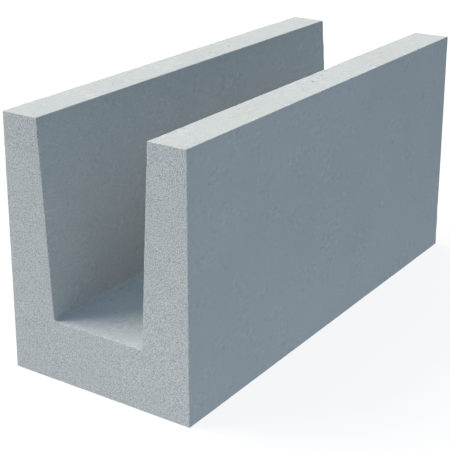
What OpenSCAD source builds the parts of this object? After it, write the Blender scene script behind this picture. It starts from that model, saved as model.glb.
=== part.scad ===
// Trough block of aerated concrete: one cast U-shaped unit, laid end to end
// in a wall and filled with reinforced concrete to make a lintel or ring beam.
// The length runs along Y and the trough opens upwards.

/* [Block] */
// Length of the block along the wall
block_length = 500; // [250:5:750]
// Width of the block across the wall
block_width = 200; // [160:5:400]
// Height of the block, one course
block_height = 250; // [150:5:400]

/* [Trough] */
// Thickness of each side wall at its rim
wall_rim = 40; // [25:1:60]
// Thickness of each side wall where it meets the trough floor
wall_foot = 50; // [30:1:70]
// Thickness of the base under the trough
base_thickness = 60; // [30:1:110]
// Radius of the fillet along the foot of each trough wall
root_radius = 3; // [1:0.5:10]

/* [Edges] */
// Width of the small bevel that breaks every outer edge
arris = 1; // [0.5:0.25:4]

/* [Hidden] */

// How far cutting shapes run past the faces that they open
overcut = 2;
// Sides of the round fillets
$fn = 32;

// Slope of the trough walls away from upright, which lets the mould draw out
trough_depth = block_height - base_thickness;
draft = atan((wall_foot - wall_rim) / trough_depth);

// Centre of the right root fillet, touching the trough floor and the sloping wall
root_z = base_thickness + root_radius;
root_x = block_width / 2 - wall_foot + root_radius * (tan(draft) - 1 / cos(draft));

// Half the width of the trough at height z, with its surface moved out by grow
function trough_half_width(z, grow = 0) =
    root_x + (root_radius + grow) / cos(draft) + (z - root_z) * tan(draft);

// The outline of the side wall where the root fillet runs into it
function root_tangent(grow) =
    [root_x + (root_radius + grow) * cos(draft), root_z - (root_radius + grow) * sin(draft)];

// A point carried over to the left half of the section
function mirrored(p) = [-p.x, p.y];

// A rectangle centred on the origin with its four corners bevelled
module bevelled_rectangle(across, up) {
    x = across / 2;
    y = up / 2;
    polygon([
        [x - arris, -y], [x, arris - y], [x, y - arris], [x - arris, y],
        [arris - x, y], [-x, y - arris], [-x, arris - y], [arris - x, -y],
    ]);
}

// The outside of the block, bevelled along all of its edges: three prisms crossed
module bevelled_block() {
    translate([0, 0, block_height / 2])
        intersection() {
            rotate([90, 0, 0])
                linear_extrude(block_length, center = true)
                    bevelled_rectangle(block_width, block_height);
            linear_extrude(block_height, center = true)
                bevelled_rectangle(block_width, block_length);
            rotate([90, 0, 90])
                linear_extrude(block_width, center = true)
                    bevelled_rectangle(block_length, block_height);
        }
}

// Cross section of the trough, from its filleted floor to above the rims
module trough_section(grow = 0) {
    above = block_height + overcut;
    foot = [root_x, base_thickness - grow];
    side = root_tangent(grow);
    mouth = [trough_half_width(above, grow), above];
    polygon([
        foot, side, mouth,
        mirrored(mouth), mirrored(side), mirrored(foot),
    ]);
    for (x = [-root_x, root_x])
        translate([x, root_z])
            circle(root_radius + grow);
}

// Cross section that bevels the two rims along the mouth of the trough
module mouth_section() {
    shoulder = [trough_half_width(block_height - arris), block_height - arris];
    lip = shoulder + (arris + overcut) * [1, 1];
    polygon([shoulder, lip, mirrored(lip), mirrored(shoulder)]);
}

// Runs a cross section through the block, past both ends
module run_through() {
    rotate([90, 0, 0])
        linear_extrude(block_length + 2 * overcut, center = true)
            children();
}

// A slice of the trough's section that starts at depth y and is as thin as a film
module trough_slice(y, grow) {
    film = 0.01;
    translate([0, y, 0])
        rotate([90, 0, 0])
            linear_extrude(film)
                trough_section(grow);
}

// Flare that bevels the trough's edge where it meets the near end of the block
module trough_flare() {
    end = -block_length / 2;
    hull() {
        trough_slice(end + arris, 0);
        trough_slice(end - overcut, arris + overcut);
    }
}

module trough_block() {
    color([0.69, 0.72, 0.73])
        difference() {
            bevelled_block();
            run_through() trough_section();
            run_through() mouth_section();
            for (turn = [0, 180])
                rotate([0, 0, turn])
                    trough_flare();
        }
}

trough_block();
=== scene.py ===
import math

import bmesh
import bpy
import numpy as np
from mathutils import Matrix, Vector, noise


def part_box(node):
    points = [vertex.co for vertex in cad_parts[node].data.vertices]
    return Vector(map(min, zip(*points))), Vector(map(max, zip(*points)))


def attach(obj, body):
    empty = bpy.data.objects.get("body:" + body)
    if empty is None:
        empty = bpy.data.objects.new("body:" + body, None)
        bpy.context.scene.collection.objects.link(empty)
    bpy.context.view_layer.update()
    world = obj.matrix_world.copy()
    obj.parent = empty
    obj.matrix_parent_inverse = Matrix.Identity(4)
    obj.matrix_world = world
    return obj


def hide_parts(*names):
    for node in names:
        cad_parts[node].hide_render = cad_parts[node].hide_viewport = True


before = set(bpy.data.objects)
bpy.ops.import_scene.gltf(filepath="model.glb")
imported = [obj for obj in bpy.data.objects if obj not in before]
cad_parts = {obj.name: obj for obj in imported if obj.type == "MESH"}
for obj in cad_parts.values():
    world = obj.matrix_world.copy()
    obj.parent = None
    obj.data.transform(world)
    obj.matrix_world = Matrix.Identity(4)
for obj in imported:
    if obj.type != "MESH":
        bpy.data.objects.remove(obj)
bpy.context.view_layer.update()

# The block
# One unit of aerated concrete: the mix rises round a tapered core that leaves the trough, is cut
# square at both ends and cured in steam. It is a single piece, and lies on its bed by its own weight.
block_low, block_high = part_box("trough_block")
block_width, block_length, block_height = block_high - block_low
wall_rim = 0.040
wall_foot = 0.050
base_thickness = 0.060
root_radius = 0.003
trough_depth = block_height - base_thickness
draft = math.atan((wall_foot - wall_rim) / trough_depth)

# Spacing of the mesh, close along the edges, which are worn round, and open on the faces
finest_gap = 0.0003
gap_growth = 1.7
widest_gap = 0.005


def graded(length):
    """Distances along a stretch, close together at both of its ends and widest apart between them."""
    close = [0.0]
    gap = finest_gap
    while gap < widest_gap:
        close.append(close[-1] + gap)
        gap *= gap_growth
    close = np.array(close)
    count = round((length - 2 * close[-1]) / widest_gap)
    middle = np.linspace(close[-1], length - close[-1], count + 1)
    return np.concatenate([close[:-1], middle, length - close[-2::-1]])


# A lattice of columns across the block, stations along it and rows up it, with the trough left out
across_leg = graded(wall_foot)
across_trough = graded(block_width - 2 * wall_foot)
up_base = graded(base_thickness)
up_wall = graded(trough_depth)
from_left = np.concatenate([
    across_leg,
    wall_foot + across_trough[1:],
    block_width - across_leg[-2::-1],
])
heights = np.concatenate([up_base, base_thickness + up_wall[1:]])
along = graded(block_length) - block_length / 2
left_wall = len(across_leg) - 1
right_wall = left_wall + len(across_trough) - 1
floor_row = len(up_base) - 1

numbers = np.arange(len(from_left) * len(along) * len(heights))
numbers = numbers.reshape(len(from_left), len(along), len(heights))
solid = np.ones((len(from_left) - 1, len(heights) - 1), bool)
solid[left_wall:right_wall, floor_row:] = False


def quads(turned, *corners):
    """Four-cornered faces from the lattice numbers of their corners, turned over where asked."""
    faces = np.stack(corners, -1).reshape(-1, 4)
    return faces[:, ::-1] if turned else faces


# The skin of the lattice: a face wherever concrete borders on air, and both ends
faces = []
borders = np.pad(solid, 1).astype(int)
for step in (1, -1):
    i, k = np.nonzero(np.diff(borders, axis=0)[:, 1:-1] == step)
    faces.append(quads(
        step == 1,
        numbers[i, :-1, k], numbers[i, 1:, k], numbers[i, 1:, k + 1], numbers[i, :-1, k + 1],
    ))
    i, k = np.nonzero(np.diff(borders, axis=1)[1:-1] == step)
    faces.append(quads(
        step == 1,
        numbers[i, :-1, k], numbers[i + 1, :-1, k], numbers[i + 1, 1:, k], numbers[i, 1:, k],
    ))
i, k = np.nonzero(solid)
for end in (0, -1):
    faces.append(quads(
        end == -1,
        numbers[i, end, k], numbers[i + 1, end, k], numbers[i + 1, end, k + 1], numbers[i, end, k + 1],
    ))
used, faces = np.unique(np.concatenate(faces), return_inverse=True)
faces = faces.reshape(-1, 4)
column, station, row = np.unravel_index(used, numbers.shape)

# The columns of a leg lean with its trough wall
lean = np.clip((heights[row] - base_thickness) / trough_depth, 0, 1)
wall = wall_foot + (wall_rim - wall_foot) * lean
from_side = np.minimum(from_left, block_width - from_left)[column] * wall / wall_foot
side = np.sign(from_left[column] - block_width / 2)
points = np.stack([side * (block_width / 2 - from_side), along[station], heights[row]], axis=1)


def into_concrete(points):
    """How deep points lie in the concrete behind the trough's rounded surface, and the way out to it."""
    x, _, z = points.T
    half_width = block_width / 2 - wall_foot + (z - base_thickness) * math.tan(draft)
    past_wall = np.maximum((np.abs(x) - half_width) * math.cos(draft) + root_radius, 0)
    past_floor = np.maximum(base_thickness - z + root_radius, 0)
    from_centre = np.hypot(past_wall, past_floor)
    out_of_wall = past_wall / from_centre
    out_of_floor = past_floor / from_centre
    way_out = np.stack([
        -np.sign(x) * math.cos(draft) * out_of_wall,
        np.zeros_like(x),
        math.sin(draft) * out_of_wall + out_of_floor,
    ], axis=1)
    return from_centre - root_radius, way_out


# The root of each trough wall is filled out to its fillet
on_wall = ((column == left_wall) | (column == right_wall)) & (row >= floor_row)
on_floor = (column >= left_wall) & (column <= right_wall) & (row == floor_row)
in_trough = on_wall | on_floor
depth, way_out = into_concrete(points[in_trough])
points[in_trough] += way_out * depth[:, None]

# Every outer edge is worn round, a little more here and there, with a few small nicks
edge_radius = 0.0007
edge_wear = 0.0004
wear_size = 0.009
nick_depth = 0.0012
nick_size = 0.017
nick_place = Vector((3.1, 7.7, 1.9))
nick_from, nick_to = 0.4, 0.7
wear = np.array([noise.noise(Vector(p) / wear_size) for p in points])
nicks = np.array([noise.noise(Vector(p) / nick_size + nick_place) for p in points])
nicks = np.clip((nicks - nick_from) / (nick_to - nick_from), 0, 1)
radius = edge_radius + edge_wear * wear + nick_depth * nicks

x, y, z = points.T
depth, way_out = into_concrete(points)
reach = way_out * np.maximum(radius - depth, 0)[:, None]
reach[:, 0] += np.sign(x) * np.maximum(radius - block_width / 2 + np.abs(x), 0)
reach[:, 1] += np.sign(y) * np.maximum(radius - block_length / 2 + np.abs(y), 0)
reach[:, 2] += np.maximum(radius - block_height + z, 0) - np.maximum(radius - z, 0)
points += reach * (radius / np.linalg.norm(reach, axis=1) - 1)[:, None]

mesh = bpy.data.meshes.new("concrete_block")
mesh.from_pydata(points.tolist(), [], faces.tolist())
mesh.shade_smooth()
block = bpy.data.objects.new("concrete_block", mesh)
bpy.context.collection.objects.link(block)


def place(tree, kind, inputs, **options):
    """Adds a node with its options, and feeds its inputs with values or with other nodes' outputs."""
    node = tree.nodes.new(kind)
    for name, value in options.items():
        setattr(node, name, value)
    for name, value in inputs.items():
        if isinstance(value, bpy.types.NodeSocket):
            tree.links.new(value, node.inputs[name])
        else:
            node.inputs[name].default_value = value
    return node


def maths(tree, operation, *values):
    """The output of a Math node on values or other nodes' outputs."""
    return place(tree, "ShaderNodeMath", dict(enumerate(values)), operation=operation).outputs[0]


def mixed(tree, share, first, second):
    """A colour between two others, by a share from nought to one."""
    return place(tree, "ShaderNodeMix", {0: share, 6: first, 7: second}, data_type="RGBA").outputs[2]


# Aerated concrete: matt grey with faint stains and marks, a sandy grain and pinhead pores, with painted
# shade in the pores of the cut ends and in the crease at the foot of the trough walls. The cut ends are
# the coarsest, the rims and the trough are finer, and the moulded sides are almost smooth
cool_grey = (0.375, 0.416, 0.441, 1)
warm_grey = (0.415, 0.432, 0.433, 1)
concrete = bpy.data.materials.new("aerated_concrete")
concrete.use_nodes = True
tree = concrete.node_tree
shader = tree.nodes["Principled BSDF"]
coordinates = place(tree, "ShaderNodeTexCoord", {}).outputs["Object"]


def grain(vector, repeats, detail=1):
    """A noise pattern in the concrete, with about so many repeats in a metre."""
    inputs = {"Vector": vector, "Scale": repeats, "Detail": detail}
    return place(tree, "ShaderNodeTexNoise", inputs).outputs["Fac"]


# Grain from the size of clouds down to crumbs, with a mottle that shows in marks here and there
drawn_out = (1, 0.8, 1)
mark_from, mark_to = 0.48, 0.68
lengthwise = place(tree, "ShaderNodeMapping", {"Vector": coordinates, "Scale": drawn_out}).outputs[0]
clouds = grain(coordinates, repeats=11, detail=3)
stains = grain(coordinates, repeats=45, detail=3)
mottle = grain(lengthwise, repeats=230)
sand = grain(coordinates, repeats=700)
crumbs = grain(coordinates, repeats=1000)
marked = place(tree, "ShaderNodeMapRange", {
    "Value": grain(lengthwise, repeats=55), "From Min": mark_from, "From Max": mark_to,
}).outputs[0]

# Pinhead pores of two sizes, most of them small
pore_rarity = 2.0
pore_bottom = 0.3


def pinheads(repeats, smallest, largest):
    """Round pores, one to a cell: nought in the middle of each, and one between them."""
    cell = place(tree, "ShaderNodeTexVoronoi", {"Vector": coordinates, "Scale": repeats}).outputs
    luck = place(tree, "ShaderNodeSeparateColor", {0: cell["Color"]}).outputs["Red"]
    luck = maths(tree, "POWER", luck, pore_rarity)
    radius = maths(tree, "MULTIPLY_ADD", luck, largest - smallest, smallest)
    from_centre = maths(tree, "DIVIDE", cell["Distance"], radius)
    inputs = {"Value": from_centre, "From Min": pore_bottom, "From Max": 1.0}
    return place(tree, "ShaderNodeMapRange", inputs, interpolation_type="SMOOTHSTEP").outputs[0]


wide_pores = pinheads(repeats=430, smallest=0.15, largest=0.45)
fine_pores = pinheads(repeats=950, smallest=0.15, largest=0.50)

# Where the surface is: on a cut end or off it, and on a moulded side or within them
skin = 0.0015
from_middle = place(tree, "ShaderNodeVectorMath", {0: coordinates}, operation="ABSOLUTE").outputs[0]
from_middle = place(tree, "ShaderNodeSeparateXYZ", {0: from_middle}).outputs
cut_ends = maths(tree, "GREATER_THAN", from_middle["Y"], block_length / 2 - skin)
off_ends = maths(tree, "SUBTRACT", 1.0, cut_ends)
within = maths(tree, "LESS_THAN", from_middle["X"], block_width / 2 - skin)

# Painted shade along both edges of the trough floor, in the crease against the foot of the walls
root_shade_width = 0.010


def close_to(coordinate, line, full, none):
    """One within a full distance of a line, falling to nought at a wider distance from it."""
    away = maths(tree, "ABSOLUTE", maths(tree, "SUBTRACT", coordinate, line))
    return place(tree, "ShaderNodeMapRange", {
        "Value": away, "From Min": full, "From Max": none, "To Min": 1.0, "To Max": 0.0,
    }).outputs[0]


by_wall = close_to(from_middle["X"], block_width / 2 - wall_foot, full=0.0, none=root_shade_width)
by_floor = close_to(from_middle["Z"], base_thickness, full=root_radius / 2, none=root_radius)
root_shade = maths(tree, "MULTIPLY", maths(tree, "MULTIPLY", by_wall, by_floor), off_ends)

# The colour: a grey between the two, made lighter and darker by a share of each pattern
cloud_share = 0.12
mottle_share = 0.08
mark_share = 0.40
side_coarseness = 0.10
within_coarseness = 0.55
end_coarseness = 1.10
pore_shade = 0.10
root_shade_darkness = 0.10


def vary(shade, pattern, share, middle=0.5):
    """A shade made lighter and darker by a share of a pattern, on both sides of the pattern's middle."""
    return maths(tree, "MULTIPLY_ADD", maths(tree, "SUBTRACT", pattern, middle), share, shade)


shade = vary(1.0, clouds, cloud_share)
shade = vary(shade, mottle, maths(tree, "MULTIPLY_ADD", marked, mark_share, mottle_share))
coarseness = maths(tree, "MULTIPLY_ADD", within, within_coarseness, side_coarseness)
coarseness = maths(tree, "MULTIPLY_ADD", cut_ends, end_coarseness, coarseness)
shade = vary(shade, crumbs, coarseness)
# The pores on the cut ends are darkened with painted shade
end_pore_shade = maths(tree, "MULTIPLY", cut_ends, pore_shade)
shade = vary(shade, wide_pores, end_pore_shade, middle=1.0)
shade = vary(shade, fine_pores, end_pore_shade, middle=1.0)
# The crease at the foot of the trough walls is darkened with painted shade
shade = vary(shade, root_shade, -root_shade_darkness, middle=0.0)
tint = mixed(tree, stains, cool_grey, warm_grey)
colour = place(tree, "ShaderNodeVectorMath", {0: tint, "Scale": shade}, operation="SCALE").outputs[0]
tree.links.new(colour, shader.inputs["Base Color"])

# The feel: dull, with sand grains standing out and pores sunk in, most of all on the cut ends
specular_level = 0.25
least_roughness = 0.8
sand_roughness = 0.2
wide_pore_depth = 0.35
fine_pore_depth = 0.18
sand_height = 0.20
relief_depth = 0.001
face_relief = 0.7
added_end_relief = 0.3
shader.inputs["Specular IOR Level"].default_value = specular_level
roughness = maths(tree, "MULTIPLY_ADD", sand, sand_roughness, least_roughness)
tree.links.new(roughness, shader.inputs["Roughness"])
height = maths(tree, "MULTIPLY", wide_pores, wide_pore_depth)
height = maths(tree, "MULTIPLY_ADD", fine_pores, fine_pore_depth, height)
height = maths(tree, "MULTIPLY_ADD", sand, sand_height, height)
relief = maths(tree, "MULTIPLY_ADD", cut_ends, added_end_relief, face_relief)
bump = place(tree, "ShaderNodeBump", {"Strength": relief, "Distance": relief_depth, "Height": height})
tree.links.new(bump.outputs["Normal"], shader.inputs["Normal"])

# The cast surface: slow waves on every face, open pits where bubbles sat, crowded pores on the cut ends
cast = bpy.data.node_groups.new("cast_surface", "GeometryNodeTree")
cast.interface.new_socket("Geometry", in_out="INPUT", socket_type="NodeSocketGeometry")
cast.interface.new_socket("Geometry", in_out="OUTPUT", socket_type="NodeSocketGeometry")
cast_sizes = {
    "Wave Depth": 0.00025,
    "Wave Size": 0.045,
    "Pit Spacing": 0.008,
    "Pit Density": 1500.0,
    "Pit Radius": 0.0018,
    "Pore Spacing": 0.0032,
    "Pore Density": 45000.0,
    "Pore Radius": 0.0012,
    "Flatness": 0.4,
    "Sliver Size": 0.000005,
}
cast_seed = 7
cast_kinds = {name: "NodeSocketFloat" for name in cast_sizes}
cast_kinds["Seed"] = "NodeSocketInt"
cast_kinds["Finish"] = "NodeSocketMaterial"
cast_sockets = {}
for name, kind in cast_kinds.items():
    cast_sockets[name] = cast.interface.new_socket(name, in_out="INPUT", socket_type=kind)
given = place(cast, "NodeGroupInput", {}).outputs
position = place(cast, "GeometryNodeInputPosition", {}).outputs[0]
normal = place(cast, "GeometryNodeInputNormal", {}).outputs["Normal"]
waves = place(cast, "ShaderNodeTexNoise", {
    "Vector": position, "Scale": maths(cast, "DIVIDE", 1.0, given["Wave Size"]), "Detail": 1.0,
}).outputs["Fac"]
sunk = maths(cast, "MULTIPLY", waves, given["Wave Depth"])
outward = maths(cast, "MULTIPLY", sunk, -1.0)
moved = place(cast, "ShaderNodeVectorMath", {0: normal, "Scale": outward}, operation="SCALE").outputs[0]
wavy = place(cast, "GeometryNodeSetPosition", {"Geometry": given["Geometry"], "Offset": moved}).outputs[0]

# Most bubbles are small, and the smallest is this share of the largest. Each ball is turned a little,
# so that none of its corners lies just in the surface, where it would leave slivers
bubble_rarity = 2.5
least_bubble = 0.3
ball_turn = math.radians(20)


def bubbles(name, share, subdivisions):
    """Flat round bubbles of many sizes, scattered over a share of the surface and sunk in it by half."""
    spots = place(cast, "GeometryNodeDistributePointsOnFaces", {
        "Mesh": wavy, "Distance Min": given[name + " Spacing"], "Density Max": given[name + " Density"],
        "Density Factor": share, "Seed": given["Seed"],
    }, distribute_method="POISSON").outputs
    luck = place(cast, "FunctionNodeRandomValue", {"Seed": given["Seed"]}, data_type="FLOAT").outputs[1]
    luck = maths(cast, "POWER", luck, bubble_rarity)
    luck = maths(cast, "MULTIPLY_ADD", luck, 1 - least_bubble, least_bubble)
    radius = maths(cast, "MULTIPLY", luck, given[name + " Radius"])
    deep = maths(cast, "MULTIPLY", radius, given["Flatness"])
    size = place(cast, "ShaderNodeCombineXYZ", {0: radius, 1: radius, 2: deep}).outputs[0]
    ball = place(cast, "GeometryNodeMeshIcoSphere", {"Radius": 1.0, "Subdivisions": subdivisions})
    turned = place(cast, "GeometryNodeTransform", {
        "Geometry": ball.outputs["Mesh"], "Rotation": (ball_turn, 0.0, 0.0),
    }).outputs[0]
    instances = place(cast, "GeometryNodeInstanceOnPoints", {
        "Points": spots["Points"], "Instance": turned, "Rotation": spots["Rotation"], "Scale": size,
    }).outputs[0]
    return place(cast, "GeometryNodeRealizeInstances", {"Geometry": instances}).outputs[0]


# The bubbles are cut out of the block, slivers along the cuts are closed, and only the rims stay crisp
facing_end = 0.5
crisp_angle = math.radians(40)
along_block = maths(cast, "ABSOLUTE", place(cast, "ShaderNodeSeparateXYZ", {0: normal}).outputs["Y"])
on_ends = maths(cast, "GREATER_THAN", along_block, facing_end)
elsewhere = maths(cast, "SUBTRACT", 1.0, on_ends)
pits = bubbles("Pit", maths(cast, "MULTIPLY", elsewhere, waves), subdivisions=2)
pores = bubbles("Pore", on_ends, subdivisions=1)
pitted = place(cast, "GeometryNodeMeshBoolean", {0: wavy, 1: pits},
               operation="DIFFERENCE", solver="MANIFOLD")
cast.links.new(pores, pitted.inputs[1])
cleaned = place(cast, "GeometryNodeMergeByDistance", {
    "Geometry": pitted.outputs["Mesh"], "Distance": given["Sliver Size"],
}, mode="CONNECTED").outputs[0]
angle = place(cast, "GeometryNodeInputMeshEdgeAngle", {}).outputs["Unsigned Angle"]
crisp = maths(cast, "GREATER_THAN", angle, crisp_angle)
shaded = place(cast, "GeometryNodeSetShadeSmooth", {
    "Geometry": cleaned, "Selection": crisp, "Shade Smooth": False,
}, domain="EDGE").outputs[0]
whole = place(cast, "GeometryNodeRealizeInstances", {"Geometry": shaded}).outputs[0]
finished = place(cast, "GeometryNodeSetMaterial", {"Geometry": whole, "Material": given["Finish"]})
place(cast, "NodeGroupOutput", {"Geometry": finished.outputs[0]})

modifier = block.modifiers.new("cast_surface", "NODES")
modifier.node_group = cast
for name, size in cast_sizes.items():
    modifier[cast_sockets[name].identifier] = size
modifier[cast_sockets["Seed"].identifier] = cast_seed
modifier[cast_sockets["Finish"].identifier] = concrete
evaluated = block.evaluated_get(bpy.context.evaluated_depsgraph_get())
block_mesh = bpy.data.meshes.new_from_object(evaluated)
block.modifiers.remove(modifier)

# Points that only divide the edge between two faces are taken out, because triangles double there
skin_work = bmesh.new()
skin_work.from_mesh(block_mesh)
dividing = [point for point in skin_work.verts if len(point.link_edges) == 2]
bmesh.ops.dissolve_verts(skin_work, verts=dividing)
skin_work.to_mesh(block_mesh)
skin_work.free()
block.data = block_mesh
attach(block, "root")
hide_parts("trough_block")

# The floor
# A wide light table of white acrylic, lit from below. It sends soft light up to the block, and the
# camera sees it as white, with the block's faint shadow.
floor_half = 8.0
table_colour = (0.92, 0.965, 1.0, 1)
table_strength = 0.984
table_centre = (0.5, -0.5, 0.0)
table_reach = 3.5
table_glow = 0.87
shadow_share = (0.12, 0.12, 0.12, 1)
white = (1, 1, 1, 1)
floor_mesh = bpy.data.meshes.new("floor")
floor_corners = [(-floor_half, -floor_half, 0), (floor_half, -floor_half, 0),
                 (floor_half, floor_half, 0), (-floor_half, floor_half, 0)]
floor_mesh.from_pydata(floor_corners, [], [(0, 1, 2, 3)])
floor = bpy.data.objects.new("floor", floor_mesh)
bpy.context.collection.objects.link(floor)
acrylic = bpy.data.materials.new("light_table")
acrylic.use_nodes = True
tree = acrylic.node_tree
tree.nodes.clear()


def seen_directly(tree):
    """One for rays that show a surface to the camera, straight, mirrored or through glass, else nought."""
    path = place(tree, "ShaderNodeLightPath", {}).outputs
    either = maths(tree, "MAXIMUM", path["Is Camera Ray"], path["Is Glossy Ray"])
    return maths(tree, "MAXIMUM", either, path["Is Transmission Ray"])


# White with a faint shadow where it is seen, and a glow that fades away from its centre for the block
glow = place(tree, "ShaderNodeEmission", {"Color": white, "Strength": table_glow}).outputs[0]
shadowed = place(tree, "ShaderNodeBsdfDiffuse", {"Color": shadow_share}).outputs[0]
seen = place(tree, "ShaderNodeAddShader", {0: glow, 1: shadowed}).outputs[0]
on_table = place(tree, "ShaderNodeTexCoord", {}).outputs["Object"]
from_centre = place(tree, "ShaderNodeVectorMath", {0: on_table, 1: table_centre}, operation="DISTANCE")
faded = maths(tree, "DIVIDE", from_centre.outputs["Value"], table_reach)
bright = maths(tree, "MAXIMUM", maths(tree, "SUBTRACT", 1.0, faded), 0.0)
power = maths(tree, "MULTIPLY", bright, table_strength)
unseen = place(tree, "ShaderNodeEmission", {"Color": table_colour, "Strength": power}).outputs[0]
either = place(tree, "ShaderNodeMixShader", {0: seen_directly(tree), 1: unseen, 2: seen}).outputs[0]
place(tree, "ShaderNodeOutputMaterial", {"Surface": either})
floor_mesh.materials.append(acrylic)

# The light
# A large key lamp to the left of the block, a warm one behind it, a weak fill lamp near the camera,
# and cool light from all round the room.
horizon_colour = (0.132, 0.211, 0.272, 1)
zenith_colour = (0.268, 0.484, 0.737, 1)


def hang_lamp(name, azimuth, height, width, colour, strength):
    """A far lamp aimed at the block, with its place and its width in the sky in degrees."""
    azimuth = math.radians(azimuth)
    height = math.radians(height)
    lamp_data = bpy.data.lights.new(name, "SUN")
    lamp_data.energy = strength
    lamp_data.color = colour
    lamp_data.angle = math.radians(width)
    lamp = bpy.data.objects.new(name, lamp_data)
    bpy.context.collection.objects.link(lamp)
    towards_lamp = Vector((
        math.sin(azimuth) * math.cos(height),
        -math.cos(azimuth) * math.cos(height),
        math.sin(height),
    ))
    lamp.rotation_euler = (-towards_lamp).to_track_quat("-Z", "Y").to_euler()


hang_lamp("key", azimuth=-70, height=41, width=48, colour=(1.0, 0.91, 0.82), strength=4.65)
hang_lamp("back", azimuth=-130, height=45, width=50, colour=(1.0, 0.74, 0.34), strength=1.385)
hang_lamp("fill", azimuth=20, height=25, width=30, colour=(1.0, 0.83, 0.60), strength=0.535)

world = bpy.data.worlds.new("room")
bpy.context.scene.world = world
world.use_nodes = True
tree = world.node_tree
tree.nodes.clear()
backdrop = place(tree, "ShaderNodeBackground", {"Color": white, "Strength": 1.0}).outputs[0]
direction = place(tree, "ShaderNodeTexCoord", {}).outputs["Generated"]
upward = place(tree, "ShaderNodeSeparateXYZ", {0: direction}).outputs["Z"]
sky = mixed(tree, upward, horizon_colour, zenith_colour)
ambient = place(tree, "ShaderNodeBackground", {"Color": sky, "Strength": 1.0}).outputs[0]
either = place(tree, "ShaderNodeMixShader", {0: seen_directly(tree), 1: ambient, 2: backdrop}).outputs[0]
place(tree, "ShaderNodeOutputWorld", {"Surface": either})

# The camera
# It stands level, in front of the block's right corner, and looks down at it.
camera_azimuth = math.radians(34.05)
camera_elevation = math.radians(17.96)
camera_place = (0.6242, -0.9719, 0.5362)
camera_lens = 95.03
camera_shift = -0.16
camera_data = bpy.data.cameras.new("camera")
camera_data.lens = camera_lens
camera_data.shift_y = camera_shift
camera = bpy.data.objects.new("camera", camera_data)
bpy.context.collection.objects.link(camera)
looking = Vector((
    -math.sin(camera_azimuth) * math.cos(camera_elevation),
    math.cos(camera_azimuth) * math.cos(camera_elevation),
    -math.sin(camera_elevation),
))
camera.location = camera_place
camera.rotation_euler = looking.to_track_quat("-Z", "Y").to_euler()
bpy.context.scene.camera = camera
bpy.context.scene.view_settings.view_transform = "Standard"
